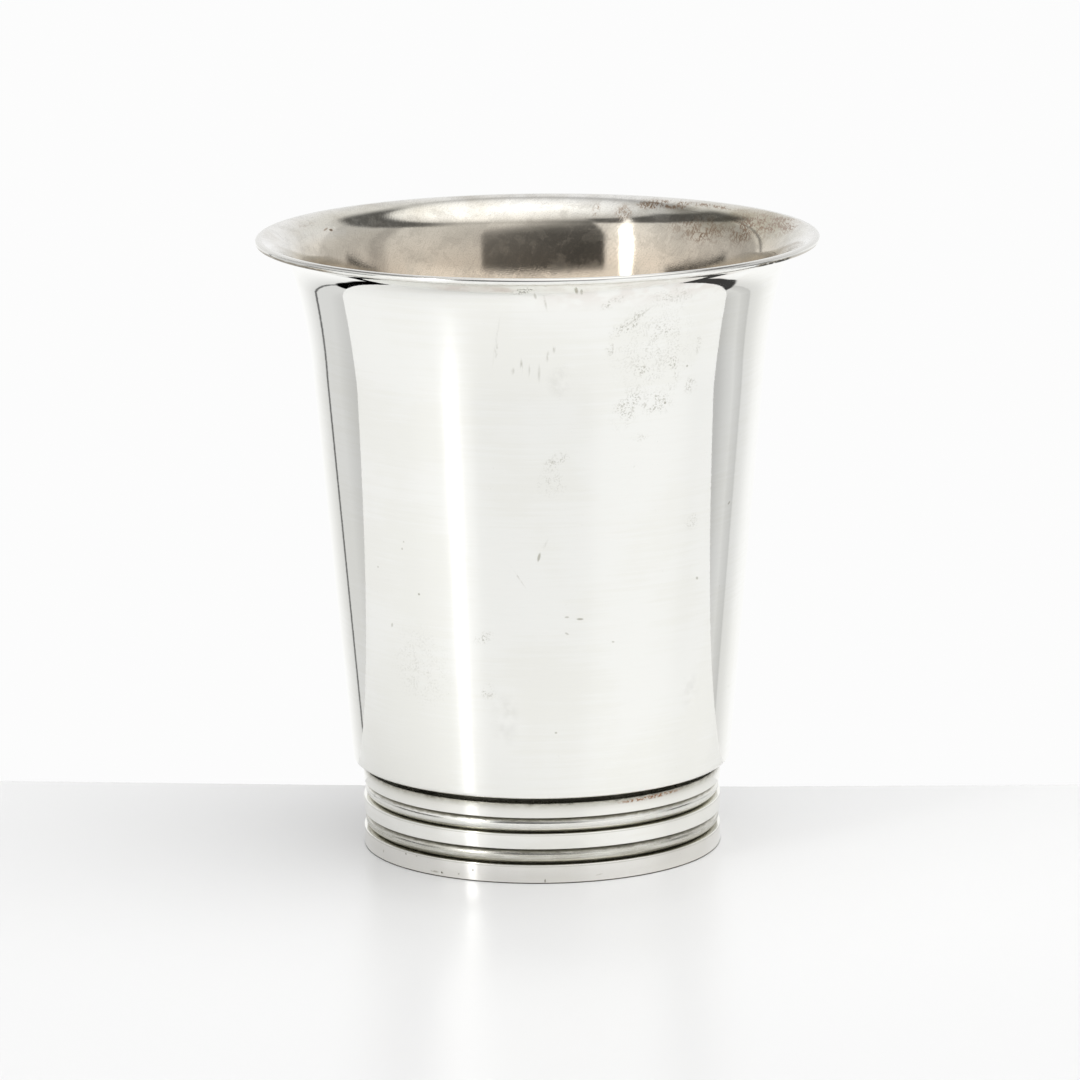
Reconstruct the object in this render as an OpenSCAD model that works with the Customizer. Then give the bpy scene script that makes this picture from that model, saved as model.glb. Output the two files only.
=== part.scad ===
// Julep cup of polished silver plate: a spun body with a flared rim, on a banded ring foot.
// The origin is on the cup's axis, in the plane of the surface that it stands on.

/* [Cup] */
// Overall height
cup_h = 100; // [80:0.5:130]
// Outside diameter of the rim, over the lip wire
rim_d = 90.6; // [80:0.2:110]
// Thickness of the spun wall
wall_t = 0.9; // [0.6:0.05:1.6]
// Thickness of the floor
floor_t = 1.2; // [0.8:0.1:3]

/* [Body shape] */
// Lean of the straight wall, outward from upright, in degrees
wall_lean = 5.03; // [0:0.01:10]
// Height of the slow sweep between the straight wall and the rolled lip
sweep_h = 14.8; // [6:0.2:25]
// Lean of the wall where the slow sweep ends, in degrees
sweep_lean = 15.5; // [12:0.5:30]
// How far the rolled lip reaches outward
lip_reach = 5.24; // [3:0.02:8]
// Lean of the lip at its edge, in degrees
lip_lean = 74.5; // [45:0.5:82]
// Radius of the heel, where the wall turns under the body
heel_round = 0.7; // [0.3:0.05:1.5]
// Radius inside the cup, where the wall meets the floor
floor_round = 3; // [1:0.25:8]

/* [Lip wire] */
// Height of the half-round wire on the edge of the lip
lip_wire_h = 1.06; // [0.8:0.02:2]
// Length of the straight sides behind its round face
lip_wire_land = 0.45; // [0.2:0.05:1.5]
// How far the wire stands above the edge of the lip
lip_proud = 0.03; // [0:0.01:0.1]

/* [Foot] */
// Step in from the heel of the body to the faces of the bands
foot_inset = 1.64; // [0.5:0.02:5]
// Wall of the collar that carries the bands
collar_t = 1.2; // [0.8:0.1:3]
// Chamfer around the inside of the collar's lower edge
collar_chamfer = 0.4; // [0.1:0.05:0.7]
// Thickness of the flat bands
band_t = 1.5; // [0.8:0.05:3]
// Radius on the corners of the bands
band_round = 0.18; // [0.05:0.01:0.35]
// Height of the base band
base_band_h = 3.05; // [1.5:0.05:6]
// Height of the middle band
middle_band_h = 2.5; // [1.5:0.05:6]
// Height of the upper band
upper_band_h = 2.4; // [1.5:0.05:6]
// Height of the groove that holds the lower bead
lower_groove_h = 2.6; // [1.2:0.05:4]
// Height of the groove that holds the upper bead
upper_groove_h = 2.6; // [1.2:0.05:4]
// Gap above and below each bead
bead_gap = 0.08; // [0.02:0.01:0.2]
// Height of the bare neck under the body
neck_h = 1.05; // [0.4:0.05:4]

/* [Hidden] */

// Sides of each round shape
$fn = 180;

// Largest turn between two points of an outline, in degrees: on the walls, and on small round edges
wall_turn = 3;
edge_turn = 15;

// Heights of the foot's stack, from the surface up
lower_bead_z = base_band_h;
middle_band_z = lower_bead_z + lower_groove_h;
upper_bead_z = middle_band_z + middle_band_h;
upper_band_z = upper_bead_z + upper_groove_h;
neck_z = upper_band_z + upper_band_h;
foot_h = neck_z + neck_h;

// Edge of the lip: its radius, its top, and the height of its under side
lip_wire_r = lip_wire_h / 2;
seat_r = rim_d / 2 - lip_wire_r - lip_wire_land;
seat_top = cup_h - lip_proud;
seat_low = seat_top - wall_t / sin(lip_lean);

// Rolled lip: an arc that turns the wall from sweep_lean to lip_lean
lip_arc_r = lip_reach / (cos(sweep_lean) - cos(lip_lean));
lip_start_r = seat_r - lip_reach;
lip_start_z = seat_low - lip_arc_r * (sin(lip_lean) - sin(sweep_lean));
lip_centre = [lip_start_r + lip_arc_r * cos(sweep_lean), lip_start_z - lip_arc_r * sin(sweep_lean)];

// Slow sweep: an arc that turns the wall from wall_lean to sweep_lean
sweep_arc_r = sweep_h / (sin(sweep_lean) - sin(wall_lean));
sweep_start_r = lip_start_r - sweep_arc_r * (cos(wall_lean) - cos(sweep_lean));
sweep_start_z = lip_start_z - sweep_h;
sweep_centre = [sweep_start_r + sweep_arc_r * cos(wall_lean), sweep_start_z - sweep_arc_r * sin(wall_lean)];

// Heel of the body, where the straight wall starts
heel_z = foot_h + heel_round * (1 - sin(wall_lean));
heel_r = sweep_start_r - (sweep_start_z - heel_z) * tan(wall_lean);
heel_centre = [heel_r - heel_round * cos(wall_lean), foot_h + heel_round];

// Inside of the cup: the floor, and the corner where the wall meets it
floor_z = foot_h + floor_t;
corner_z = floor_z + floor_round;
corner_r = inner_wall_r(corner_z) - floor_round / cos(wall_lean);

// Radii of the foot
foot_r = heel_r - foot_inset;
collar_r = foot_r - band_t;

// Radius of the straight wall's inner face at a height
function inner_wall_r(z) = heel_r + (z - heel_z) * tan(wall_lean) - wall_t / cos(wall_lean);

// Angles from one to another, in equal steps no larger than a turn
function angles(from, to, turn) =
    let (steps = ceil(abs(to - from) / turn))
    [for (i = [0:steps]) from + (to - from) * i / steps];

// Points of a round edge about a centre, where the angle is counted up from the outward direction
function edge_arc(centre, radius, from, to) =
    [for (a = angles(from, to, edge_turn)) centre + radius * [cos(a), sin(a)]];

// Points of a wall arc, where the angle is the lean of the wall and the centre lies outside it
function wall_arc(centre, radius, from, to) =
    [for (a = angles(from, to, wall_turn)) centre + radius * [-cos(a), sin(a)]];

// Section of the body: under side, heel, outer face, edge of the lip, inner face, floor
function body_outline() = concat(
    [[0, foot_h]],
    edge_arc(heel_centre, heel_round, -90, -wall_lean),
    wall_arc(sweep_centre, sweep_arc_r, wall_lean, sweep_lean),
    wall_arc(lip_centre, lip_arc_r, sweep_lean, lip_lean),
    [[seat_r, seat_top]],
    wall_arc(lip_centre, lip_arc_r + wall_t, lip_lean, sweep_lean),
    wall_arc(sweep_centre, sweep_arc_r + wall_t, sweep_lean, wall_lean),
    edge_arc([corner_r, corner_z], floor_round, -wall_lean, -90),
    [[0, floor_z]]
);

// Section of a flat band that stands at height z on the collar
function band_outline(z, h) =
    let (edge_r = foot_r - band_round)
    concat(
        [[collar_r, z]],
        edge_arc([edge_r, z + band_round], band_round, -90, 0),
        edge_arc([edge_r, z + h - band_round], band_round, 0, 90),
        [[collar_r, z + h]]
    );

// A flat band around the collar
module band(z, h) {
    rotate_extrude()
        polygon(band_outline(z, h));
}

// A half-round bead around the collar, in a groove that starts at height z
module bead(z, groove_h) {
    bead_r = groove_h / 2 - bead_gap;
    rotate_extrude()
        polygon(edge_arc([collar_r, z + groove_h / 2], bead_r, -90, 90));
}

// Spun wall and floor of the cup, in one piece
module body_shell() {
    color("gainsboro")
        rotate_extrude()
            polygon(body_outline());
}

// Half-round wire around the edge of the lip
module lip_wire() {
    wire_centre = [seat_r + lip_wire_land, cup_h - lip_wire_r];
    color("silver")
        rotate_extrude()
            polygon(concat(
                [[seat_r, cup_h - lip_wire_h]],
                edge_arc(wire_centre, lip_wire_r, -90, 90),
                [[seat_r, cup_h]]
            ));
}

// Tube under the body that carries the bands and beads
module foot_collar() {
    bore_r = collar_r - collar_t;
    color("darkgray")
        rotate_extrude()
            polygon([
                [bore_r + collar_chamfer, 0],
                [collar_r, 0],
                [collar_r, foot_h],
                [bore_r, foot_h],
                [bore_r, collar_chamfer]
            ]);
}

// Flat band under the neck
module upper_band() {
    color("gainsboro")
        band(upper_band_z, upper_band_h);
}

// Bead between the upper and middle bands
module upper_bead() {
    color("darkgray")
        bead(upper_bead_z, upper_groove_h);
}

// Flat band halfway up the foot
module middle_band() {
    color("gainsboro")
        band(middle_band_z, middle_band_h);
}

// Bead between the middle and base bands
module lower_bead() {
    color("darkgray")
        bead(lower_bead_z, lower_groove_h);
}

// Flat band that the cup stands on
module base_band() {
    color("gainsboro")
        band(0, base_band_h);
}

body_shell();
lip_wire();
foot_collar();
upper_band();
upper_bead();
middle_band();
lower_bead();
base_band();
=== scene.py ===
# %% [markdown]
# A julep cup of polished silver plate. Almost everything that the eye reads on such a cup is a
# reflection, so this lesson builds three things with equal care: smooth turned surfaces, a finish
# with its tarnish and wear, and the small studio that the silver mirrors.

# %% Load the frame
import math

import bpy
import numpy as np
from mathutils import Matrix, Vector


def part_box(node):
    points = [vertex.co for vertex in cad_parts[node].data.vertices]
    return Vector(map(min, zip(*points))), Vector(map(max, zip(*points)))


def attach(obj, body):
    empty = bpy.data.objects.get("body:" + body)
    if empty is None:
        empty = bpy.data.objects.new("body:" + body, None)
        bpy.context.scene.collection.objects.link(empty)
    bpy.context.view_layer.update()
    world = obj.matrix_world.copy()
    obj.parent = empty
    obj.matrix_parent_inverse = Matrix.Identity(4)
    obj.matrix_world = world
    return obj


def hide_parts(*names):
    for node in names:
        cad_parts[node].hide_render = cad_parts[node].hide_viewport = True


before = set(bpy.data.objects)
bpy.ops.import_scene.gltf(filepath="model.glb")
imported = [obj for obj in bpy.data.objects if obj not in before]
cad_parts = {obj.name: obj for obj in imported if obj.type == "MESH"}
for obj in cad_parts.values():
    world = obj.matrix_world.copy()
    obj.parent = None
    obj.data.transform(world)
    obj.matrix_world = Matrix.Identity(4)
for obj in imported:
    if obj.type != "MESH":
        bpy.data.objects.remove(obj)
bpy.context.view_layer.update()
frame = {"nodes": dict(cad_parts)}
print("CAD nodes:", ", ".join(frame["nodes"]))

# %% [markdown]
# The sizes of the cup come from the frame: how wide and high each piece is. What a box can't say,
# such as how far a wall leans or how tight a curve is, is repeated here as a spinner would say it.

# %% Sizes
MM = 0.001
wall_thick = 0.9 * MM
floor_thick = 1.2 * MM
wall_lean = math.radians(5.03)
sweep_lean = math.radians(15.5)
lip_lean = math.radians(74.5)
sweep_high = 14.8 * MM
lip_reach = 5.24 * MM
heel_round = 0.7 * MM
floor_round = 3.0 * MM
band_round = 0.10 * MM
collar_thick = 1.2 * MM
collar_chamfer = 0.4 * MM


def span(node):
    """The radius, lowest height and highest height of a turned CAD node."""
    low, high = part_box(node)
    return high.x, low.z, high.z


seat_r, foot_top, seat_top = span("body_shell")
rim_r, wire_low, cup_high = span("lip_wire")
collar_r, _, _ = span("foot_collar")
bands = {name: span(name) for name in ("base_band", "middle_band", "upper_band")}
beads = {name: span(name) for name in ("lower_bead", "upper_bead")}
foot_r = bands["base_band"][0]
wire_r = (cup_high - wire_low) / 2
print(f"rim {2000 * rim_r:.1f} mm, height {1000 * cup_high:.1f} mm, foot {2000 * foot_r:.1f} mm")

# %% [markdown]
# A spun cup is drawn as a profile, half of a cut through its middle. The wall is a straight cone
# that turns into a slow sweep and then into a tight roll at the lip. Each turn is an arc whose
# centre lies outside the cup, so one small function draws them all.

# %% Arcs of the profile


def arc(centre, radius, first, last, step=math.radians(3)):
    """Points at a radius from a centre. The angle from the outward axis runs from first to last."""
    turns = max(2, math.ceil(abs(last - first) / step) + 1)
    angle = np.linspace(first, last, turns)
    return np.stack([centre[0] + radius * np.cos(angle), centre[1] + radius * np.sin(angle)], 1)


def wall_arc(centre, radius, first, last, step=math.radians(1)):
    """Such an arc mirrored to the inward side of its centre, so the angle is the wall's lean."""
    points = arc(centre, radius, first, last, step)
    return points * [-1, 1] + [2 * centre[0], 0]


def line(start, end, gap=1.5 * MM):
    """Evenly spaced points between two places, without the ends."""
    start, end = np.array(start), np.array(end)
    count = max(1, int(np.linalg.norm(end - start) / gap))
    share = np.arange(1, count)[:, None] / count
    return start + (end - start) * share


# %% [markdown]
# The arcs are found from the lip downwards. Where two arcs meet, they share a lean, so the wall
# has no crease. Their curve still changes at once there, which polished metal would show as a line
# across a reflection, and a spinner's tool wouldn't leave it. So the change is eased over 2 mm. The
# inner face is the same curve, one wall's thickness nearer the axis.

# %% Profile of the body
seat_low = seat_top - wall_thick / math.sin(lip_lean)
lip_radius = lip_reach / (math.cos(sweep_lean) - math.cos(lip_lean))
lip_start = np.array([seat_r - lip_reach,
                      seat_low - lip_radius * (math.sin(lip_lean) - math.sin(sweep_lean))])
lip_centre = lip_start + lip_radius * np.array([math.cos(sweep_lean), -math.sin(sweep_lean)])

sweep_radius = sweep_high / (math.sin(sweep_lean) - math.sin(wall_lean))
sweep_start = lip_start - [sweep_radius * (math.cos(wall_lean) - math.cos(sweep_lean)), sweep_high]
sweep_centre = sweep_start + sweep_radius * np.array([math.cos(wall_lean), -math.sin(wall_lean)])

heel_z = foot_top + heel_round * (1 - math.sin(wall_lean))
heel_r = sweep_start[0] - (sweep_start[1] - heel_z) * math.tan(wall_lean)
heel_centre = (heel_r - heel_round * math.cos(wall_lean), foot_top + heel_round)


def inner_r(z):
    """Radius of the straight wall's inner face: the outer cone, less the slanted thickness."""
    return heel_r + (z - heel_z) * math.tan(wall_lean) - wall_thick / math.cos(wall_lean)


floor_z = foot_top + floor_thick
corner_z = floor_z + floor_round
corner_r = inner_r(corner_z) - floor_round / math.cos(wall_lean)


def beyond(end, neighbour, reach):
    """The point that lies a reach past the end of a line, away from the neighbour of that end."""
    away = end - neighbour
    return end + away / np.linalg.norm(away) * reach


def eased(points, reach=2.0 * MM, step=0.05 * MM):
    """
    A profile whose sudden changes of curve are spread over a reach: each point becomes the weighted
    mean of its neighbours along the profile, with straight lines added at both ends for the sum.
    """
    before = beyond(points[0], points[1], reach)
    after = beyond(points[-1], points[-2], reach)
    longer = np.concatenate([[before], points, [after]])
    along = np.append(0, np.cumsum(np.linalg.norm(np.diff(longer, axis=0), axis=1)))
    grid = np.arange(0, along[-1], step)
    weights = np.hanning(round(reach / step))
    weights = weights / weights.sum()
    even = [np.interp(grid, along, longer[:, axis]) for axis in (0, 1)]
    means = [np.convolve(values, weights, "same") for values in even]
    moved = np.stack([np.interp(along[1:-1], grid, mean) for mean in means], 1)
    moved[0], moved[-1] = points[0], points[-1]
    return moved


SWEEP_STEP = math.radians(0.5)
outer_face = np.concatenate([
    [[0, foot_top]],
    line((0, foot_top), (heel_centre[0], foot_top), 3 * MM),
    arc(heel_centre, heel_round, -math.pi / 2, -wall_lean, math.radians(8)),
    line((heel_r, heel_z), sweep_start),
    eased(np.concatenate([
        wall_arc(sweep_centre, sweep_radius, wall_lean, sweep_lean, SWEEP_STEP),
        wall_arc(lip_centre, lip_radius, sweep_lean, lip_lean)[1:],
    ])),
])
inner_face = np.concatenate([
    [[seat_r, seat_top]],
    eased(np.concatenate([
        wall_arc(lip_centre, lip_radius + wall_thick, lip_lean, sweep_lean),
        wall_arc(sweep_centre, sweep_radius + wall_thick, sweep_lean, wall_lean, SWEEP_STEP)[1:],
    ])),
    line((inner_r(sweep_start[1]), sweep_start[1]), (inner_r(corner_z), corner_z)),
    arc((corner_r, corner_z), floor_round, -wall_lean, -math.pi / 2, math.radians(6)),
    line((corner_r, floor_z), (0, floor_z), 3 * MM),
    [[0, floor_z]],
])
print("profile points:", len(outer_face), "outside,", len(inner_face), "inside")

# %% [markdown]
# Turning a profile about the axis is one array product: every profile radius times the cosine and
# sine of every angle. A ring closes on itself, and a profile that starts on the axis closes there
# in one point. Edges sharper than 30 degrees stay crisp, and everything else shades smoothly,
# because a mirror shows the slightest flat. For the same reason the ring has 400 sides.

# %% Turned surfaces
TURNS = 400
CRISP = math.radians(30)


def ring_faces(rings, closed):
    """Faces between each ring of points and the next: four corners, counted round the axis."""
    first = np.arange(rings if closed else rings - 1)[:, None] * TURNS
    second = (first + TURNS) % (rings * TURNS)
    here = np.arange(TURNS)[None, :]
    after = (here + 1) % TURNS
    return np.stack([first + here, first + after, second + after, second + here], 2).reshape(-1, 4)


def turned(name, profile, closed=True):
    """
    A mesh whose points are (r cos a, r sin a, z), for each profile point (r, z) and each angle a.
    The profile runs up the outside, so faces point outwards. An open one has its ends on the axis.
    """
    profile = np.asarray(profile)
    rims = profile if closed else profile[1:-1]
    angle = np.arange(TURNS) * 2 * math.pi / TURNS
    around = np.stack([np.cos(angle), np.sin(angle)], 1)
    points = np.concatenate([
        rims[:, None, :1] * around[None],
        np.repeat(rims[:, None, 1:], TURNS, 1),
    ], 2).reshape(-1, 3)
    faces = ring_faces(len(rims), closed).tolist()
    if not closed:
        bottom, top = len(points), len(points) + 1
        points = np.concatenate([points, [[0, 0, profile[0, 1]], [0, 0, profile[-1, 1]]]])
        here = np.arange(TURNS)
        after = (here + 1) % TURNS
        last = (len(rims) - 1) * TURNS
        faces += np.stack([np.full(TURNS, bottom), after, here], 1).tolist()
        faces += np.stack([np.full(TURNS, top), last + here, last + after], 1).tolist()
    mesh = bpy.data.meshes.new(name)
    mesh.from_pydata(points.tolist(), [], faces)
    mesh.polygons.foreach_set("use_smooth", np.ones(len(faces), bool))
    mesh.set_sharp_from_angle(angle=CRISP)
    mesh.update()
    piece = bpy.data.objects.new(name, mesh)
    bpy.context.scene.collection.objects.link(piece)
    print(f"{name}: {len(points)} points, {len(faces)} faces")
    return piece


# %% [markdown]
# The body is the only piece with a face inside the cup. The drink and the cloth leave that face
# browner and duller than the outside, so each point carries a number, 1 inside and 0 outside,
# that the finish reads later.

# %% The spun body
body = turned("spun_body", np.concatenate([outer_face, inner_face]), closed=False)
rings = np.arange(len(outer_face) + len(inner_face) - 2)
inside = np.repeat(rings >= len(outer_face) - 1, TURNS)
inside = np.append(inside, [False, True]).astype(np.float32)
body.data.attributes.new("inside", "FLOAT", "POINT").data.foreach_set("value", inside)
print(f"{inside.mean():.0%} of the points lie inside")

# %% [markdown]
# A half-round wire is soldered on the cut edge of the lip. Its round face is the thin bright line
# that runs around the rim. Its upper side meets the lip in one line, and its back is sunk a little
# into the edge, as it is in solder, so that no dark slit shows between two faces that only touch.

# %% Lip wire
WIRE_TUCK = 0.1 * MM
wire_centre = (rim_r - wire_r, wire_low + wire_r)
wire = turned("rim_wire", np.concatenate([
    [[seat_r - WIRE_TUCK, wire_low]],
    arc(wire_centre, wire_r, -math.pi / 2, math.pi / 2, math.radians(6)),
    [[seat_r, seat_top], [seat_r - WIRE_TUCK, seat_top - WIRE_TUCK]],
]))

# %% [markdown]
# The foot is a stack: three flat bands and two half-round beads around a plain collar. The bands
# have their corners broken by years of polishing, which gives each a thin bright line above and
# below, so the rounding is modelled and not left to the shading.

# %% Foot
bore_r = collar_r - collar_thick
collar = turned("collar_tube", [
    (bore_r + collar_chamfer, 0),
    (collar_r, 0),
    (collar_r, foot_top),
    (bore_r, foot_top),
    (bore_r, collar_chamfer),
])


def band(name, low, high):
    """A flat ring around the collar, with a small quarter turn at each outer corner."""
    edge_r = foot_r - band_round
    return turned(name, np.concatenate([
        [[collar_r, low]],
        arc((edge_r, low + band_round), band_round, -math.pi / 2, 0, math.radians(10)),
        arc((edge_r, high - band_round), band_round, 0, math.pi / 2, math.radians(10)),
        [[collar_r, high]],
    ]))


def bead(name, radius, low, high):
    """A half-round ring around the collar: half a circle, squeezed to the height of the bead."""
    middle = (low + high) / 2
    half = arc((0, 0), 1, -math.pi / 2, math.pi / 2, math.radians(6))
    return turned(name, half * [radius - collar_r, (high - low) / 2] + [collar_r, middle])


foot = {
    "base_band": band("base_ring", *bands["base_band"][1:]),
    "middle_band": band("middle_ring", *bands["middle_band"][1:]),
    "upper_band": band("upper_ring", *bands["upper_band"][1:]),
    "lower_bead": bead("lower_wire", *beads["lower_bead"]),
    "upper_bead": bead("upper_wire", *beads["upper_bead"]),
}

# %% [markdown]
# A finish is easier to read as a sum than as a web of nodes. This class wraps a socket, so that
# `1 - mask * 0.4` adds its own Math nodes, and one method makes every other kind of node. It could
# be done with node groups, but a sum in a script can be read, compared and changed line by line.

# %% Sums on sockets


class Link:
    """A socket in a node tree, on which sums can be written."""

    def __init__(self, tree, socket=None):
        self.tree = tree
        self.socket = socket

    def node(self, kind, settings=None, out=0, **values):
        """
        Makes a node, sets it up and fills its inputs, which are given by name or, as i0, by number.
        Gives the output that out names or counts, or a list of outputs for several names.
        """
        made = self.tree.nodes.new(kind)
        for key, value in (settings or {}).items():
            if key == "stops":
                self.fill_ramp(made.color_ramp, value)
            else:
                setattr(made, key, value)
        for key, value in values.items():
            name = int(key[1:]) if key[1:].isdigit() else key.replace("_", " ")
            if isinstance(value, Link):
                self.tree.links.new(value.socket, made.inputs[name])
            else:
                made.inputs[name].default_value = value
        if not made.outputs:
            return None
        if isinstance(out, tuple):
            return [Link(self.tree, made.outputs[name]) for name in out]
        return Link(self.tree, made.outputs[out])

    @staticmethod
    def fill_ramp(ramp, stops):
        """Puts rising stops (place, shade) on a colour ramp. A shade is a grey or a colour."""
        for place, _ in stops[1:-1]:
            ramp.elements.new(place)
        for element, (place, shade) in zip(ramp.elements, stops):
            element.position = place
            element.color = (*shade, 1) if isinstance(shade, tuple) else (shade, shade, shade, 1)

    def maths(self, operation, *values):
        """A Math node on the given values, in order."""
        inputs = {f"i{place}": value for place, value in enumerate(values)}
        return self.node("ShaderNodeMath", {"operation": operation}, **inputs)

    def __add__(self, other):
        return self.maths("ADD", self, other)

    def __mul__(self, other):
        return self.maths("MULTIPLY", self, other)

    def __sub__(self, other):
        return self.maths("SUBTRACT", self, other)

    def __rsub__(self, other):
        return self.maths("SUBTRACT", other, self)

    def __truediv__(self, other):
        return self.maths("DIVIDE", self, other)

    def __pow__(self, other):
        return self.maths("POWER", self, other)

    __radd__ = __add__
    __rmul__ = __mul__

    def size(self):
        """The value without its sign."""
        return self.maths("ABSOLUTE", self)

    def atleast(self, other):
        """The larger of two values."""
        return self.maths("MAXIMUM", self, other)

    def atmost(self, other):
        """The smaller of two values."""
        return self.maths("MINIMUM", self, other)

    def rise(self, low, high):
        """0 where this is under low, 1 where it is over high, and a smooth rise between."""
        return self.node("ShaderNodeMapRange", {"interpolation_type": "SMOOTHSTEP"},
                         Value=self, From_Min=low, From_Max=high)

    def fall(self, low, high):
        """1 under low and 0 over high."""
        return 1 - self.rise(low, high)

    def near(self, centre, half, soft):
        """1 within half of a centre, and 0 beyond a further soft width."""
        return (self - centre).size().fall(half, half + soft)

    def ramp(self, *stops):
        """This value, read on a list of stops (value, grey). The first and last set the range."""
        first, last = stops[0][0], stops[-1][0]
        shares = [((value - first) / (last - first), grey) for value, grey in stops]
        share = (self - first) / (last - first)
        return self.node("ShaderNodeValToRGB", {"stops": shares}, Fac=share)

    def length(self):
        """How long a vector is."""
        return self.node("ShaderNodeVectorMath", {"operation": "LENGTH"}, out="Value", i0=self)

    def times(self, factors):
        """A vector whose three parts are multiplied by three factors."""
        return self.node("ShaderNodeVectorMath", {"operation": "MULTIPLY"}, i0=self, i1=factors)

    def grain(self, along, up, detail=2.0, rough=0.5):
        """Noise at a place in millimetres: so many lumps per millimetre sideways, and upwards."""
        return self.times((along, along, up)).node_here(
            "ShaderNodeTexNoise", out="Fac", Scale=1.0, Detail=detail, Roughness=rough)

    def node_here(self, kind, settings=None, out=0, **values):
        """A node whose vector input is this one."""
        return self.node(kind, settings, out, Vector=self, **values)

    def placed(self, centre, half, turn):
        """A flat position, measured from a centre along two turned axes in units of two lengths."""
        return self.node_here(
            "ShaderNodeMapping", {"vector_type": "TEXTURE"},
            Location=(*centre, 0), Rotation=(0, 0, math.radians(turn)), Scale=(*half, 1))

    def mark(self, centre, half, turn=0.0, soft=0.6):
        """1 in the middle of an ellipse turned by some degrees, and 0 outside it."""
        return self.placed(centre, half, turn).length().fall(1 - soft, 1)

    def strokes(self, long, wide, turn):
        """Noise drawn out into short strokes at an angle, with lengths in millimetres."""
        return self.placed((0, 0), (long, wide), turn).grain(1.0, 1.0, 3.0, 0.6)

    def colour(self, other, share):
        """A colour mixed with another colour, by a share from 0 to 1."""
        return self.node("ShaderNodeMix", {"data_type": "RGBA"}, out=2, i0=share, i6=self, i7=other)

    def dark(self, grey):
        """A colour multiplied by a grey value."""
        return self.node("ShaderNodeMix", {"data_type": "RGBA", "blend_type": "MULTIPLY"}, out=2,
                         i0=1.0, i6=self, i7=grey)

    def towards(self, other, share):
        """A step of the given share from this value to another."""
        return self * (1 - share) + other * share


# %% [markdown]
# The studio. A white table ends a little behind the cup, at a slight angle to the view. Beyond it
# hangs a white backdrop, with pale cards on both sides. Overhead is a large soft box, and a tall
# strip light stands on the left. The camera's side of the room is dark. These could be lamps and
# boards, but only the silver ever sees them, so all of it is painted on the world by direction:
# azimuth counts degrees to the right of the camera as the cup sees it, climb counts upwards, and
# aside is the azimuth without its sign.

# %% The world by direction
world = bpy.data.worlds.new("studio")
bpy.context.scene.world = world
world.use_nodes = True
world.node_tree.nodes.clear()
sky = Link(world.node_tree)
TO_DEGREES = 180 / math.pi

direction = sky.node("ShaderNodeTexCoord", out="Generated")
east, north, up = sky.node("ShaderNodeSeparateXYZ", out=("X", "Y", "Z"), Vector=direction)
azimuth = sky.maths("ARCTAN2", east, 0 - north) * TO_DEGREES
climb = sky.maths("ARCSINE", up) * TO_DEGREES
aside = azimuth.size()
on_right = azimuth.rise(-1, 1)
print(len(world.node_tree.nodes), "nodes find the direction")

# %% [markdown]
# Under the table's level, the silver looks past the edge of the table at the foot of the backdrop,
# which falls into shade towards the sides. A seam between two boards makes one dark line on the
# left. The boards end at some depth, read from a list for each side, and under them it is nearly
# black.

# %% Below the level of the table
DARK_RIGHT = 0.05
BOARD_EDGE = 0.7
left_low = aside.ramp(
    (96, 0.50), (108, 0.57), (116, 0.63), (124, 0.70), (136.5, 0.71), (137.3, 0.15), (138.9, 0.15),
    (139.7, 0.72), (146, 0.81), (155, 0.92), (165, 1.0), (180, 1.0))
right_low = aside.ramp(
    (96, 0.45), (106, 0.54), (112, 0.64), (119, 0.72), (121, 0.67), (128, 0.59), (129, 0.74),
    (136, 0.80), (146, 0.93), (156, 1.0), (180, 1.0))
depth_left = aside.ramp(
    (124, 39.5), (128, 38.3), (133, 37.3), (136, 36.8), (141, 37.5), (146, 41.3), (160, 42))
depth_right = aside.ramp(
    (110, 35.5), (124, 36.3), (130, 37.3), (137, 38.3), (142, 39), (147, 42), (160, 42.5))
above_foot = climb + depth_left.towards(depth_right, on_right)
low_part = left_low.towards(right_low, on_right)
low_part = (on_right * DARK_RIGHT).towards(low_part, above_foot.rise(-BOARD_EDGE, BOARD_EDGE))
print(len(world.node_tree.nodes), "nodes with the boards under the table's level")

# %% [markdown]
# Above the table's level, each thing is a soft-edged mask over azimuth and climb. Pale cards stand
# on both sides of the backdrop, and the dark room shows through the opening that the camera looks
# through. The gap between the cards and the soft box shows that dark room too, and it dips lower at
# the far sides. A low card in front keeps the foot bright, and a slot in it makes the dark shapes
# under the rim.

# %% Cards, opening and gap
BACKDROP_LEVEL, SEAM_LEVEL = 1.02, 0.25
cards_left = aside.ramp(
    (45, 1.1), (59, 1.1), (75, 0.90), (90, 0.84), (104, 0.75), (117, 0.62), (140, 0.66))
cards_right = aside.ramp(
    (30, 0.78), (60, 0.90), (80, 0.88), (85, 0.62), (91, 0.58), (97, 0.76), (128, 0.82))
cards = cards_left.towards(cards_right, on_right)
cards = cards.towards(BACKDROP_LEVEL, aside.rise(131, 136))
cards = cards.towards(SEAM_LEVEL, aside.near(138.4, 0.7, 0.8) * (1 - on_right))

across_opening = climb + azimuth * 0.45
opening_level = across_opening.ramp(
    (8, 0.08), (20, 0.12), (30, 0.18), (40, 0.36), (47, 0.60), (55, 0.9), (64, 1.1))
opening = (azimuth + 3).near(0, 31, 1.5) * climb.rise(12, 14)

gap_middle = (54 - (aside - 105).atleast(0) * 0.27).towards(48, on_right)
gap_half_left = aside.ramp((60, 3), (100, 5), (140, 4))
gap_half_right = aside.ramp((40, 1.0), (75, 2.0), (105, 4.0), (150, 5.5))
gap_half = gap_half_left.towards(gap_half_right, on_right)
gap = ((climb - gap_middle).size() - gap_half).fall(0, 4)
gap = gap * aside.rise(38, 80).atleast(1 - on_right) * aside.rise(30, 40) * aside.fall(143, 160)

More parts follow.
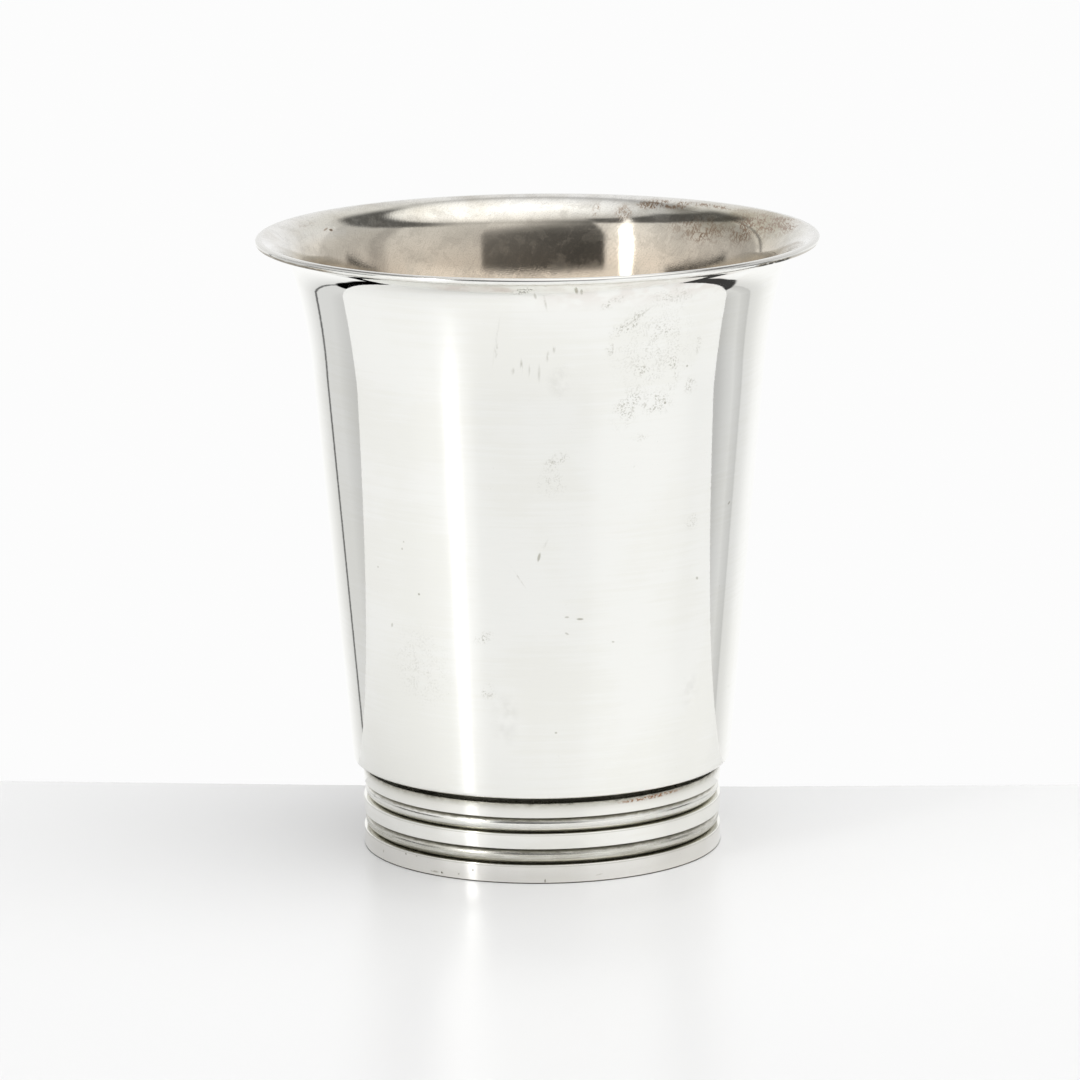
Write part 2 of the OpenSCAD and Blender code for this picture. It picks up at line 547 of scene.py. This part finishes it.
front_card = aside.fall(62, 78) * climb.fall(12.7, 13.5)
slot_top = aside.ramp((60, 11.4), (69, 11.3), (84, 10.8), (97, 9.8), (104, 9.4), (120, 8.5))
slot_top = slot_top.towards(9.5, on_right)
slot_middle = 88 + on_right * 11
slot_half = 18 - on_right * 9
side_slot = ((aside - slot_middle).size() - slot_half).fall(-1, 4)
side_slot = side_slot * (climb - slot_top).fall(-0.3, 0.4)
print(len(world.node_tree.nodes), "nodes with the boards above it")

# %% [markdown]
# The soft box overhead is brighter towards the right. The strip light is the brightest thing in the
# room. It leans further from the camera with height, which keeps its reflection upright inside the
# flaring rim. It fades at both ends. Its lower end is dim for one more reason: the table mirrors
# the cup, and a bright end would draw a second streak there, under the foot. The faint glow around
# the strip is what the haze on the silver spreads.

# %% Soft box and strip light
STRIP_AZIMUTH = -46.3
roof_left = climb.ramp((50, 0), (60, 0.70), (68, 1.05), (76, 1.25), (84, 1.6))
roof_right = climb.ramp((48, 0), (54, 1.15), (62, 1.7), (84, 2.0))
roof = roof_left.towards(roof_right, east.rise(-0.4, 0.5))

from_strip = azimuth - (STRIP_AZIMUTH - ((climb - 22).atleast(0) / 38) ** 2 * 20)
strip_level = climb.ramp(
    (0, 1.0), (7, 1.3), (12, 5.0), (16, 9.0), (34, 8.0), (42, 4.0), (50, 1.8), (66, 1.3))
strip = from_strip.near(0, 1.7, 2.0) * climb.fall(60, 70)
strip_glow = from_strip.near(0, 2, 10) * climb.fall(45, 60) * climb.rise(12, 18)
print(len(world.node_tree.nodes), "nodes with the lights")

# %% [markdown]
# Now each thing is laid over what is behind it, from the cards to the strip light.

# %% The whole studio
GAP_LEVEL, FRONT_LEVEL, SLOT_LEVEL, GLOW_LEVEL = 0.12, 1.15, 0.04, 0.25
high_part = cards.towards(opening_level, opening)
high_part = high_part.towards(roof, climb.rise(46, 58))
high_part = high_part.towards(GAP_LEVEL, gap * 0.95)
high_part = high_part.towards(FRONT_LEVEL, front_card)
high_part = high_part.towards(SLOT_LEVEL, side_slot)
high_part = high_part + strip_glow * GLOW_LEVEL
high_part = high_part.towards(strip_level, strip)
radiance = low_part.towards(high_part, climb.rise(-0.5, 0.5))
print(len(world.node_tree.nodes), "nodes with everything laid over the rest")

# %% [markdown]
# Cloudy light for the table. What the silver mirrors and what lights the table are the same boards
# on the real set, but a table takes in the whole room at once. One even sky, stronger from above,
# from the front and from the upper right, gives the same soft shadow on the left with far less
# noise, so diffuse rays see that. What the silver throws back on the table is this even sky too, or
# the strip light would burn a streak into it. A camera ray that misses everything lands on plain
# white, whatever the silver sees there.

# %% World output
camera_ray, diffuse_ray, diffuse_depth = sky.node(
    "ShaderNodeLightPath", out=("Is Camera Ray", "Is Diffuse Ray", "Diffuse Depth"))
BACKDROP_WHITE = 0.975
EVEN_LIGHT = 0.27
FRONT_LIGHT = 0.67
TOP_LIGHT = 1.50
RIGHT_LIGHT = 0.76
LEFT_LIGHT = 0.21
towards_front = (azimuth - 40).size().fall(40, 140)
soft_light = EVEN_LIGHT + towards_front * FRONT_LIGHT + climb.rise(52, 78) * TOP_LIGHT
soft_light = soft_light + (azimuth - 55).size().fall(35, 75) * climb.near(36, 12, 14) * RIGHT_LIGHT
soft_light = soft_light + (azimuth + 80).size().fall(30, 75) * climb.near(28, 12, 14) * LEFT_LIGHT
for_the_table = diffuse_ray.atleast(diffuse_depth.atmost(1))
shown = radiance.towards(soft_light, for_the_table).towards(BACKDROP_WHITE, camera_ray)
light = sky.node("ShaderNodeBackground", Color=(1, 1, 1, 1), Strength=shown)
sky.node("ShaderNodeOutputWorld", Surface=light)
print("world nodes:", len(world.node_tree.nodes))

# %% [markdown]
# The table is white acrylic: matt enough to hold a soft shadow, and glossy enough to carry the
# strip light into the silver as the tall highlight. It is one large flat face, and it isn't part of
# the cup, so it is only a stage. Its far edge bends a little where the cup hides it. A few specks
# of dust lie on it.

# %% Table
TABLE_HALF, TABLE_FRONT = 2.0, -3.0
BEND_LEFT, BEND_RIGHT = (-35 * MM, 36.7 * MM), (35 * MM, 33.2 * MM)
SLOPE_LEFT, SLOPE_RIGHT = -0.085, -0.01
corners = [
    (-TABLE_HALF, TABLE_FRONT, 0),
    (TABLE_HALF, TABLE_FRONT, 0),
    (TABLE_HALF, BEND_RIGHT[1] + SLOPE_RIGHT * (TABLE_HALF - BEND_RIGHT[0]), 0),
    (*BEND_RIGHT, 0),
    (*BEND_LEFT, 0),
    (-TABLE_HALF, BEND_LEFT[1] + SLOPE_LEFT * (-TABLE_HALF - BEND_LEFT[0]), 0),
]
table_mesh = bpy.data.meshes.new("table")
table_mesh.from_pydata(corners, [], [tuple(range(len(corners)))])
table = bpy.data.objects.new("table", table_mesh)
bpy.context.scene.collection.objects.link(table)
for x, y, _ in corners[2:]:
    print(f"far edge of the table: {x / MM:.0f}, {y / MM:.0f} mm")

# %% [markdown]
# Every finish is made in the same four steps: a new material, the place of each point in
# millimetres, the sums, and the wiring into the surface shader. The places come from Object
# coordinates, so that the wear stays on the surface from any view.

# %% Materials


def rgb(red, green, blue):
    """A colour for a socket, with full opacity."""
    return (red, green, blue, 1.0)


def material(name):
    """A new material, with a Link into its tree and its surface shader."""
    made = bpy.data.materials.new(name)
    made.use_nodes = True
    return made, Link(made.node_tree), made.node_tree.nodes["Principled BSDF"]


def millimetres(tree):
    """The place of each point in its piece's own axes: Object coordinates over a millimetre."""
    return tree.node("ShaderNodeTexCoord", out="Object").times((1 / MM, 1 / MM, 1 / MM))


def mixed(tree, first, second, share):
    """Two fixed colours, mixed by a share from 0 to 1."""
    return tree.node("ShaderNodeMix", {"data_type": "RGBA"}, out=2, i0=share, i6=first, i7=second)


def wire_up(tree, shader, colour, rough, metal=1.0, bump=None):
    """Connects a finish to the surface shader. What is the same everywhere is set on the socket."""
    wanted = {"Base Color": colour, "Roughness": rough, "Metallic": metal, "Normal": bump}
    for name, value in wanted.items():
        if isinstance(value, Link):
            tree.tree.links.new(value.socket, shader.inputs[name])
        elif value is not None:
            shader.inputs[name].default_value = value


ACRYLIC_WHITE, DUST = rgb(0.86, 0.86, 0.86), rgb(0.30, 0.29, 0.27)
acrylic, tree, shader = material("white_acrylic")
dusty = millimetres(tree).grain(0.30, 0.30, 5.0, 0.8).rise(0.72, 0.77) * 0.4
wire_up(tree, shader, mixed(tree, ACRYLIC_WHITE, DUST, dusty), rough=0.27, metal=0.0)
shader.inputs["IOR"].default_value = 1.28
table_mesh.materials.append(acrylic)

# %% [markdown]
# On the cup, marks are placed by how far round a point lies, how high, and how far from the axis.
# Azimuth counts degrees to the right of the front.

# %% Places on the cup


def places(tree):
    """The point in millimetres, its azimuth in degrees, its height and its radius."""
    point = millimetres(tree)
    x, y, z = tree.node("ShaderNodeSeparateXYZ", out=("X", "Y", "Z"), Vector=point)
    around = tree.maths("ARCTAN2", x, 0 - y) * TO_DEGREES
    return point, around, z, point.times((1, 1, 0)).length()


def plot(tree, across, height):
    """A flat position made of two values, on which marks can be placed."""
    return tree.node("ShaderNodeCombineXYZ", X=across, Y=height, Z=0.0)


def most(masks):
    """The largest of several masks."""
    whole = masks[0]
    for mask in masks[1:]:
        whole = whole.atleast(mask)
    return whole


# %% [markdown]
# The outside is clean, but it isn't new. Polishing has left faint lines around the wall and broad
# patches that are a little warmer. The streaks, nicks and speckles that a cloth has missed are put
# where they lie on the real cup, as turned ellipses over azimuth and height. Broken up by fine
# noise, an ellipse becomes a cluster of specks. Each row below is one mark: azimuth, height, half
# length, half width, turn and strength.

# %% Marks on the outside
NICKS = [
    (-0.3, 54.2, 0.95, 0.30, 76, 0.55), (4.1, 25.3, 0.30, 0.20, 0, 0.50),
    (-34.8, 47.0, 0.30, 0.25, 0, 0.60), (-45.5, 41.1, 0.50, 0.30, 60, 0.35),
    (-49.4, 50.3, 0.20, 0.20, 0, 0.50), (47.5, 48.2, 0.45, 0.30, -30, 0.45),
    (60.3, 59.2, 0.50, 0.25, 30, 0.50), (-39.5, 54.1, 0.20, 0.25, 0, 0.45),
    (-38.8, 55.3, 0.20, 0.20, 0, 0.40), (8.2, 97.5, 0.90, 0.30, -75, 0.60),
    (9.4, 97.2, 0.70, 0.25, -80, 0.45), (-0.6, 96.6, 0.70, 0.25, -80, 0.35),
    (7.1, 41.6, 0.50, 0.20, -25, 0.35), (20.2, 39.8, 0.35, 0.20, -10, 0.35),
    (7.1, 44.3, 0.50, 0.20, 0, 0.40), (10.7, 43.9, 0.75, 0.22, -3, 0.60),
    (32.9, 77.9, 0.30, 0.28, 0, 0.60), (39.0, 83.4, 0.25, 0.25, 0, 0.50),
]
STREAKS = [
    (-9.9, 89.0, 5.0, 0.25, 80, 0.20), (-9.9, 87.6, 1.6, 0.30, 82, 0.50),
    (-4.1, 85.0, 1.6, 0.30, 90, 0.45), (-6.2, 84.2, 0.8, 0.35, 80, 0.35),
    (-2.2, 84.4, 1.5, 0.25, 85, 0.30), (0.1, 83.8, 2.0, 0.30, 88, 0.25),
    (2.2, 86.6, 1.2, 0.30, 85, 0.30), (3.7, 87.8, 0.9, 0.30, 90, 0.35),
    (-5.9, 51.0, 3.0, 0.18, -57, 0.25), (0.8, 55.6, 2.2, 0.30, 62, 0.20),
    (1.6, 95.5, 2.0, 0.25, -80, 0.30), (23.6, 92.3, 3.6, 0.25, 38, 0.40),
]
CLUSTERS = [
    (29.0, 87.0, 9.0, 10.0, 0, 0.35), (-3.0, 97.6, 2.4, 0.8, 15, 1.5),
    (21.8, 91.4, 4.6, 1.7, 35, 0.9), (32.0, 95.0, 4.6, 2.4, -10, 0.7),
    (30.0, 89.5, 3.8, 3.4, 0, 0.6), (26.5, 83.5, 2.8, 2.8, 0, 0.8), (22.5, 78.0, 5.2, 2.8, 60, 0.7),
    (34.5, 83.0, 4.8, 1.6, 90, 0.8), (30.0, 78.0, 4.0, 2.6, 0, 0.8), (40.5, 80.2, 1.8, 1.8, 0, 0.7),
    (41.5, 86.6, 1.2, 2.0, 0, 0.6), (17.5, 87.4, 1.2, 1.5, 0, 0.6), (17.0, 95.0, 2.6, 1.2, 30, 0.7),
    (26.0, 72.8, 1.8, 0.9, 0, 0.6), (-15.2, 32.0, 1.7, 1.7, 30, 1.0),
    (-16.0, 40.8, 2.4, 1.3, 20, 0.7), (4.0, 69.5, 3.0, 1.6, 40, 0.6), (3.0, 66.0, 3.0, 2.6, 0, 0.4),
    (44.0, 58.0, 2.5, 2.0, 0, 0.4), (-36.0, 35.0, 8.0, 9.0, 0, 0.25),
]
SMUDGES = [
    (-10.4, 27.4, 3.2, 5.5, 0, 1.0), (47.7, 29.7, 3.2, 4.0, 0, 0.9), (5.2, 82.5, 2.6, 3.4, 0, 1.0),
]
ARC_STEP = math.radians(1) * 35


def all_marks(field, rows, step, soft=0.6):
    """The strongest of a list of marks at each place. Step is the millimetres in one degree."""
    return most([field.mark((degrees * step, height), (long, wide), turn, soft) * strength
                 for degrees, height, long, wide, turn, strength in rows])


print(len(NICKS) + len(STREAKS) + len(CLUSTERS) + len(SMUDGES), "marks outside")


# %% [markdown]
# Silver is the whitest metal, and a little warm. Black sulphide fills what the cloth can't reach,
# such as the grooves of the foot, and it is yellower where it thins out. So one function darkens a
# colour by an amount of tarnish: silver first, then a warm grey, then nearly black. The same
# function also paints shade on the foot and under the body, in the grooves, the neck and the
# contact line, and a thin reflection on two bands.

# %% Silver and its tarnish
SILVER = rgb(0.957, 0.958, 0.925)
WARM_SILVER = rgb(0.932, 0.930, 0.885)
HALF_TARNISH_AND_SHADE = rgb(0.50, 0.485, 0.42)
BLACK = rgb(0.055, 0.053, 0.043)
BROWN = rgb(0.28, 0.20, 0.14)


def tarnished_and_shaded(colour, amount, middle=HALF_TARNISH_AND_SHADE):
    """A colour under tarnish and painted shade: at a half it has the middle colour, and at one it
    is black.
    """
    return colour.colour(middle, amount * 2).colour(BLACK, amount * 2 - 1)


def clean_silver(tree, point):
    """Polished silver: broad warm patches, and faint lines around the axis."""
    patches = point.grain(0.06, 0.05, 3.0)
    lines = point.grain(0.05, 1.7, 4.0, 0.6)
    warmth = (patches + (lines - 0.5) * 0.5).rise(0.40, 0.62)
    return mixed(tree, SILVER, WARM_SILVER, warmth)


# %% [markdown]
# The wall's finish lays its marks over the silver. A cluster is an ellipse times two noises: a fine
# one makes the specks, and a coarse one leaves bare metal between them. Under the lip, where a
# cloth slips past, is a pinkish haze. The underside is darkened in the corner over the neck:
# painted shade there, over some tarnish.

# %% Finish of the outside
PINKISH = rgb(0.74, 0.66, 0.61)
UNDERSIDE = foot_top / MM
BAND_FACE = foot_r / MM


def outside_finish(tree, point, around, height, radius):
    """Colour, roughness and metal of the outer wall."""
    field = plot(tree, around * ARC_STEP, height)
    patchy = point.grain(0.6, 0.6, 3.0).rise(0.34, 0.56)
    specks = point.grain(3.0, 3.0, 3.0, 0.75).rise(0.50, 0.60) * patchy
    broken = point.grain(2.5, 0.5, 3.0).rise(0.35, 0.6)
    worn = all_marks(field, CLUSTERS, ARC_STEP, 0.8) * specks * 0.55
    worn = worn.atleast(all_marks(field, NICKS, ARC_STEP) * 0.8)
    worn = worn.atleast(all_marks(field, STREAKS, ARC_STEP, 0.9) * broken * 0.8)
    stray = point.grain(1.1, 1.1, 5.0, 0.75).rise(0.68, 0.76) * 0.35
    smudge = all_marks(field, SMUDGES, ARC_STEP, 0.9)
    smudge = smudge * point.grain(0.5, 0.5, 4.0).rise(0.3, 0.7) * 0.07
    blotches = point.grain(0.35, 0.6, 4.0)
    under_lip = height.near(97.9, 0.45, 0.35) * around.near(-14, 7, 4)
    under_lip = under_lip * (0.3 + blotches.rise(0.4, 0.6) * 0.4)
    hazy = height.rise(93, 97) * around.near(26, 17, 14) * blotches.rise(0.35, 0.6) * 0.35
    # Painted shade over some tarnish: the underside darkens in the corner over the neck.
    neck_shade_and_tarnish = height.fall(UNDERSIDE + 0.03, UNDERSIDE + 0.07)
    neck_shade_and_tarnish = neck_shade_and_tarnish * radius.rise(BAND_FACE - 3.1, BAND_FACE - 2.1)
    neck_shade_and_tarnish = neck_shade_and_tarnish * radius.fall(BAND_FACE + 0.1, BAND_FACE + 0.6) * 0.4
    colour = clean_silver(tree, point).colour(PINKISH, under_lip.atleast(hazy))
    colour = tarnished_and_shaded(colour, most([worn, stray, smudge, neck_shade_and_tarnish]))
    rough = 0.035 + point.grain(0.08, 0.9, 3.0).rise(0.4, 0.8) * 0.03 + worn * 0.3
    return colour, rough, 1 - smudge


# %% [markdown]
# The inside has carried drinks and been wiped less. It is browner with depth, hazed by cloth marks
# in both directions, and flecked with brown on the right. Haze is modelled as a little less metal,
# so that some light scatters as it does from a dull surface: that lifts the dark reflections as
# much as it dims the bright ones.

# %% Marks on the inside
INNER_STEP = math.radians(1) * 40
INNER_CLUSTERS = [
    (70.5, 141.2, 8.5, 3.8, 0, 0.95), (58.0, 137.2, 6.0, 5.5, 0, 0.55),
    (64.0, 140.0, 13.0, 5.0, 0, 0.50), (27.0, 141.0, 3.2, 2.2, 0, 0.85),
    (21.0, 138.0, 2.2, 4.0, 0, 0.38), (14.0, 138.5, 0.9, 3.0, 0, 0.45),
    (33.0, 141.0, 3.6, 1.2, 0, 0.7), (43.4, 133.8, 2.0, 2.0, 0, 0.6),
    (44.0, 135.5, 10.0, 4.6, 0, 0.42), (-64.0, 141.2, 3.4, 0.9, 0, 0.3),
    (38.0, 142.6, 14.0, 1.2, 0, 0.5),
]
INNER_STAINS = [
    (-57.3, 137.9, 0.55, 0.45, 0, 1.1), (-59.0, 138.4, 1.2, 0.3, 20, 0.5),
    (27.5, 141.8, 1.5, 0.3, 0, 0.7),
]
INNER_DEPTH = [
    (0.0, (0.60, 0.51, 0.40)), (0.50, (0.67, 0.575, 0.46)), (0.80, (0.665, 0.615, 0.53)),
    (0.90, (0.70, 0.685, 0.64)), (1.0, (0.78, 0.77, 0.745)),
]
DEPTH_LOW, DEPTH_HIGH = 80, cup_high / MM
CLOUD, VEIL = rgb(0.47, 0.43, 0.36), rgb(0.66, 0.62, 0.51)
print(len(INNER_CLUSTERS) + len(INNER_STAINS), "marks inside")


def inside_finish(tree, point, height, radius):
    """
    Colour, roughness, metal and scratches of the inner face. Marks lie on the angle from the back,
    and on the height plus the radius, which grows evenly along the upright wall and the level lip.
    """
    x, y = tree.node("ShaderNodeSeparateXYZ", out=("X", "Y"), Vector=point)
    from_back = tree.maths("ARCTAN2", x, y) * TO_DEGREES
    field = plot(tree, from_back * INNER_STEP, height + radius)
    share = (height - DEPTH_LOW) / (DEPTH_HIGH - DEPTH_LOW)
    depth = tree.node("ShaderNodeValToRGB", {"stops": INNER_DEPTH}, Fac=share)
    clouds = field.grain(0.13, 0.25, 3.0, 0.6)
    colour = depth.colour(CLOUD, clouds.rise(0.40, 0.75) * 0.5)
    wiped_up = field.grain(3.6, 0.28, 3.0, 0.75)
    wiped_round = field.grain(0.2, 3.6, 3.0, 0.75)
    wiped_over = field.strokes(3.5, 0.3, 62)
    lines = wiped_up.rise(0.50, 0.58) * 0.5 + wiped_round.rise(0.50, 0.58) * 0.5
    lines = lines + wiped_over.rise(0.54, 0.62) * 0.3
    colour = colour.dark(1 - lines * 0.15)
    slanted = plot(tree, x, height + y * 0.25)
    flecks = slanted.strokes(0.85, 0.27, 66).rise(0.50, 0.54)
    flecks = flecks.atleast(slanted.strokes(0.7, 0.25, 118).rise(0.53, 0.57))
    flecks = flecks * slanted.grain(0.6, 0.6, 2.0).rise(0.38, 0.50)
    stain = all_marks(field, INNER_CLUSTERS, INNER_STEP, 0.8) * flecks
    stain = stain.atmost(0.52).atleast(all_marks(field, INNER_STAINS, INNER_STEP) * 0.7)
    veil = field.mark((60 * INNER_STEP, 140), (30, 8.5), 0, 0.8)
    veil = veil * (0.55 + clouds.rise(0.25, 0.7) * 0.45)
    veil = veil.atleast(field.mark((-42 * INNER_STEP, 141), (30, 5.0), 0, 0.8) * 0.45)
    colour = colour.colour(colour.dark(VEIL), veil)
    colour = tarnished_and_shaded(colour, stain, BROWN)
    return colour, 0.04 + lines * 0.05 + stain * 0.2, 1 - lines * 0.19, wiped_up + wiped_over


# %% [markdown]
# The body's two faces share one material, because they are one sheet. The number that each point
# carries chooses between the two finishes.

# %% Body finish
BUMP_DEPTH = 0.1 * MM
body_metal, tree, shader = material("spun_silver")
point, around, height, radius = places(tree)
within = tree.node("ShaderNodeAttribute", {"attribute_name": "inside"}, out="Fac")
colour, rough, metal = outside_finish(tree, point, around, height, radius)
inner_colour, inner_rough, inner_metal, scratches = inside_finish(tree, point, height, radius)
ripple = (point.grain(0.25, 1.4, 3.0) * 0.06).towards(scratches * 0.03, within)
bump = tree.node("ShaderNodeBump", Height=ripple, Strength=1.0, Distance=BUMP_DEPTH)
wire_up(tree, shader, colour.colour(inner_colour, within), rough.towards(inner_rough, within),
        metal.towards(inner_metal, within), bump)
body.data.materials.append(body_metal)
print("spun_silver nodes:", len(body_metal.node_tree.nodes))

# %% [markdown]
# The foot keeps the oldest tarnish, and shade is painted into it too. Each band is bright on its
# face and black where it meets the groove, which is painted shade over tarnish. The beads are
# bright only along their crests, and the collar behind them was never reached by a cloth. The base
# band is painted dark at its foot as a contact shadow. The two lower bands carry a thin painted
# reflection of the dark room under their top corners. The upper band's top corner has worn through
# to copper on the right.

# %% Bands
COPPER = rgb(0.32, 0.17, 0.10)
FOOT_STEP = math.radians(1) * BAND_FACE
BASE_TOP = bands["base_band"][2] / MM
FOOT_NICKS = [
    (-33.6, 0.75, 0.30, 0.28, 30, 0.8), (-36.5, 0.7, 1.1, 0.20, 0, 0.4),
    (-49.0, 2.5, 0.25, 0.20, 0, 0.7), (-22.5, 1.8, 0.18, 0.30, 0, 0.6),
    (0.7, 0.5, 0.16, 0.42, 0, 0.7), (-27.5, 0.9, 0.22, 0.2, 0, 0.5),
    (-62.0, 1.6, 0.5, 0.2, 70, 0.4), (18.0, 1.1, 0.8, 0.15, 10, 0.2),
    (-44.0, 2.6, 0.2, 0.15, 0, 0.5),
]
upper_low, upper_high = (value / MM for value in bands["upper_band"][1:])
band_metal, tree, shader = material("band_silver")
point, around, height, radius = places(tree)
ragged = (point.grain(0.8, 1.6, 5.0, 0.7) - 0.5) * 1.3
from_top = upper_high - height
from_top = (from_top + ragged * from_top.fall(0.2, 1.2)).atleast(0)
shade = from_top.ramp(
    (0, 0.80), (0.12, 0.60), (0.40, 0.40), (0.75, 0.24), (1.05, 0.12), (1.6, 0.03), (2.4, 0.0))
shade = shade * height.rise(upper_low - 0.1, upper_low)
# Painted shade over tarnish: the bands' flat sides inside the grooves are darkened.
groove_shade_and_tarnish = radius.fall(BAND_FACE - 0.8, BAND_FACE - 0.25) * 0.4
# Painted contact shadow: the base band is darkened at its very foot, where it stands on the table.
painted_contact_shadow = height.fall(0.12, 0.24) * 0.95
# Painted reflection: a thin dark line just under the top corner of the base and middle bands stands
# for the dark room mirrored in that rounded corner.
for name in ("base_band", "middle_band"):
    shade = shade.atleast(height.near(bands[name][2] / MM - 0.26, 0.05, 0.10) * 0.22)
specks = point.grain(1.2, 1.2, 5.0, 0.75).rise(0.66, 0.74) * 0.4
field = plot(tree, around * FOOT_STEP, height)
nicks = all_marks(field, FOOT_NICKS, FOOT_STEP) * point.grain(3.0, 3.0, 3.0).rise(0.3, 0.5)
amount = most([shade, groove_shade_and_tarnish, painted_contact_shadow, specks, nicks])
colour = tarnished_and_shaded(clean_silver(tree, point).dark(rgb(0.965, 0.96, 0.955)), amount)
duller = colour.dark(rgb(0.90, 0.89, 0.89))
colour = colour.colour(duller, height.fall(BASE_TOP - 0.15, BASE_TOP + 0.05))
copper = field.mark((37 * FOOT_STEP, upper_high - 0.5), (8.5, 0.42), 1.0, 0.6)
copper = copper * point.grain(2.2, 3.0, 4.0, 0.7).rise(0.47, 0.53)
colour = colour.colour(COPPER, copper)
rough = 0.05 + point.grain(0.1, 2.0, 3.0).rise(0.4, 0.8) * 0.04 + amount * 0.3
wire_up(tree, shader, colour, rough)
for name in bands:
    foot[name].data.materials.append(band_metal)
print("band_silver nodes:", len(band_metal.node_tree.nodes))

# %% [markdown]
# A bead is darkened by its own shape: a cloth keeps its face bright and misses the sides in the
# grooves, and the grooves lie in shade, so the darkening towards them is painted shade over
# tarnish.
# The shade is read from a list of stops over the bead's height, from -1 at its foot to 1 at its
# top.
# The lower bead is duller, with fine lines around it.

# %% Beads
# Painted shade over tarnish: how dark a bead is made at each height, from its foot to its top.
BEAD_SHADE = [
    (-1, 0.1), (-0.78, 0.22), (-0.55, 0.30), (-0.30, 0.24), (-0.04, 0.12), (0.2, 0.18),
    (0.42, 0.12), (0.56, 0.5), (0.70, 0.74), (0.85, 0.66), (1, 0.5),
]
bead_metal, tree, shader = material("bead_silver")
point, around, height, radius = places(tree)
ragged = (point.grain(0.7, 1.5, 5.0, 0.7) - 0.5) * 0.6
lower_top = beads["lower_bead"][2] / MM
shades = []
for name in beads:
    _, low, high = (value / MM for value in beads[name])
    share = (height - (low + high) / 2) / ((high - low) / 2)
    uneven = share + ragged * share.size().fall(0.7, 1.0)
    shades.append(uneven.ramp(*BEAD_SHADE) * share.near(0, 1.05, 0.05))
turned_lines = plot(tree, around * 0.08, height * 3.5).grain(1.0, 1.0, 4.0, 0.7)
dull = height.fall(lower_top, lower_top + 0.1) * (0.10 + turned_lines.rise(0.3, 0.7) * 0.30)
amount = most(shades)
amount = amount + (1 - amount) * dull
colour = tarnished_and_shaded(clean_silver(tree, point), amount)
wire_up(tree, shader, colour, 0.15 + amount * 0.3)
for name in beads:
    foot[name].data.materials.append(bead_metal)
print("bead_silver nodes:", len(bead_metal.node_tree.nodes))

# %% [markdown]
# The collar shows only as the dark neck under the body and at the bottom of the grooves. Its outer
# face is painted nearly black: painted shade in the neck and grooves, over tarnish there. The
# inside of the ring is less black than that. The lip wire is handled and wiped the most: it is
# bright, with dirt only in the corner under it and along parts of its sides. Its upper side is a
# little dull.

# %% Collar and lip wire
collar_metal, tree, shader = material("collar_silver")
point, around, height, radius = places(tree)
# Painted shade over tarnish: the collar's outer face is nearly black, and its bore less so.
bare = radius.fall(collar_r / MM - 0.5, collar_r / MM - 0.3)
amount = 1 - bare * 0.75 + (point.grain(0.5, 0.5, 4.0) - 0.5) * 0.3
wire_up(tree, shader, tarnished_and_shaded(clean_silver(tree, point), amount), 0.3)
collar.data.materials.append(collar_metal)

wire_metal, tree, shader = material("wire_silver")
point, around, height, radius = places(tree)
lumps = point.grain(0.6, 2.0, 4.0, 0.65)
down = cup_high / MM - height
low_edge = down.rise(0.40, 0.75)
left_side = around.near(-64, 14, 8) * (0.35 + lumps.rise(0.3, 0.55) * 0.35)
right_side = around.near(68, 8, 6) * 0.4 + around.near(55, 4, 3) * lumps.rise(0.40, 0.48)
amount = low_edge * left_side.atleast(right_side)
amount = amount.atleast(down.rise(0.88, 1.02) * 0.4)
amount = amount.atleast(down.rise(0.6, 0.8) * (0.06 + lumps.rise(0.45, 0.65) * 0.12))
colour = tarnished_and_shaded(clean_silver(tree, point), amount, rgb(0.42, 0.37, 0.29))
upper_side = down.fall(0.25, 0.45)
colour = colour.colour(rgb(0.67, 0.66, 0.63), upper_side)
wire_up(tree, shader, colour, 0.06 + amount * 0.3 + upper_side * 0.12)
wire.data.materials.append(wire_metal)
print("wire_silver nodes:", len(wire_metal.node_tree.nodes))

# %% [markdown]
# Each piece takes the place of the solid that it refines, and rides on the one body of the cup.

# %% Ride and replace
for piece, node, slot in (
    (body, "body_shell", "body_silver"),
    (wire, "lip_wire", "wire_silver"),
    (collar, "foot_collar", "collar_silver"),
    (foot["base_band"], "base_band", "band_silver"),
    (foot["middle_band"], "middle_band", "band_silver"),
    (foot["upper_band"], "upper_band", "band_silver"),
    (foot["lower_bead"], "lower_bead", "bead_silver"),
    (foot["upper_bead"], "upper_bead", "bead_silver"),
):
    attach(piece, "root")
    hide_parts(node)
    print(f"{piece.name} stands for {node}, in {slot}")

# %% [markdown]
# The camera stands 0.94 m away and a little above the rim. From so far away, with a long lens, the
# rim's ellipse stays flat and the wall keeps its taper.

# %% Camera
CAMERA_AWAY = 0.9397
CAMERA_HIGH = 0.2447
CAMERA_PITCH = math.radians(11.714)
CAMERA_ROLL = math.radians(-0.482)
FOCUS_SHARE = 5915.5 / 1080
SENSOR_WIDTH = 36
camera_data = bpy.data.cameras.new("camera")
camera_data.sensor_width = SENSOR_WIDTH
camera_data.lens = FOCUS_SHARE * SENSOR_WIDTH
camera = bpy.data.objects.new("camera", camera_data)
camera.location = (0, -CAMERA_AWAY, CAMERA_HIGH)
tilt = Matrix.Rotation(math.pi / 2 - CAMERA_PITCH, 3, "X") @ Matrix.Rotation(CAMERA_ROLL, 3, "Z")
camera.rotation_euler = tilt.to_euler()
bpy.context.scene.collection.objects.link(camera)
bpy.context.scene.camera = camera
bpy.context.scene.view_settings.view_transform = "Standard"
bpy.context.scene.cycles.glossy_bounces = 8
print(f"lens {camera_data.lens:.0f} mm")
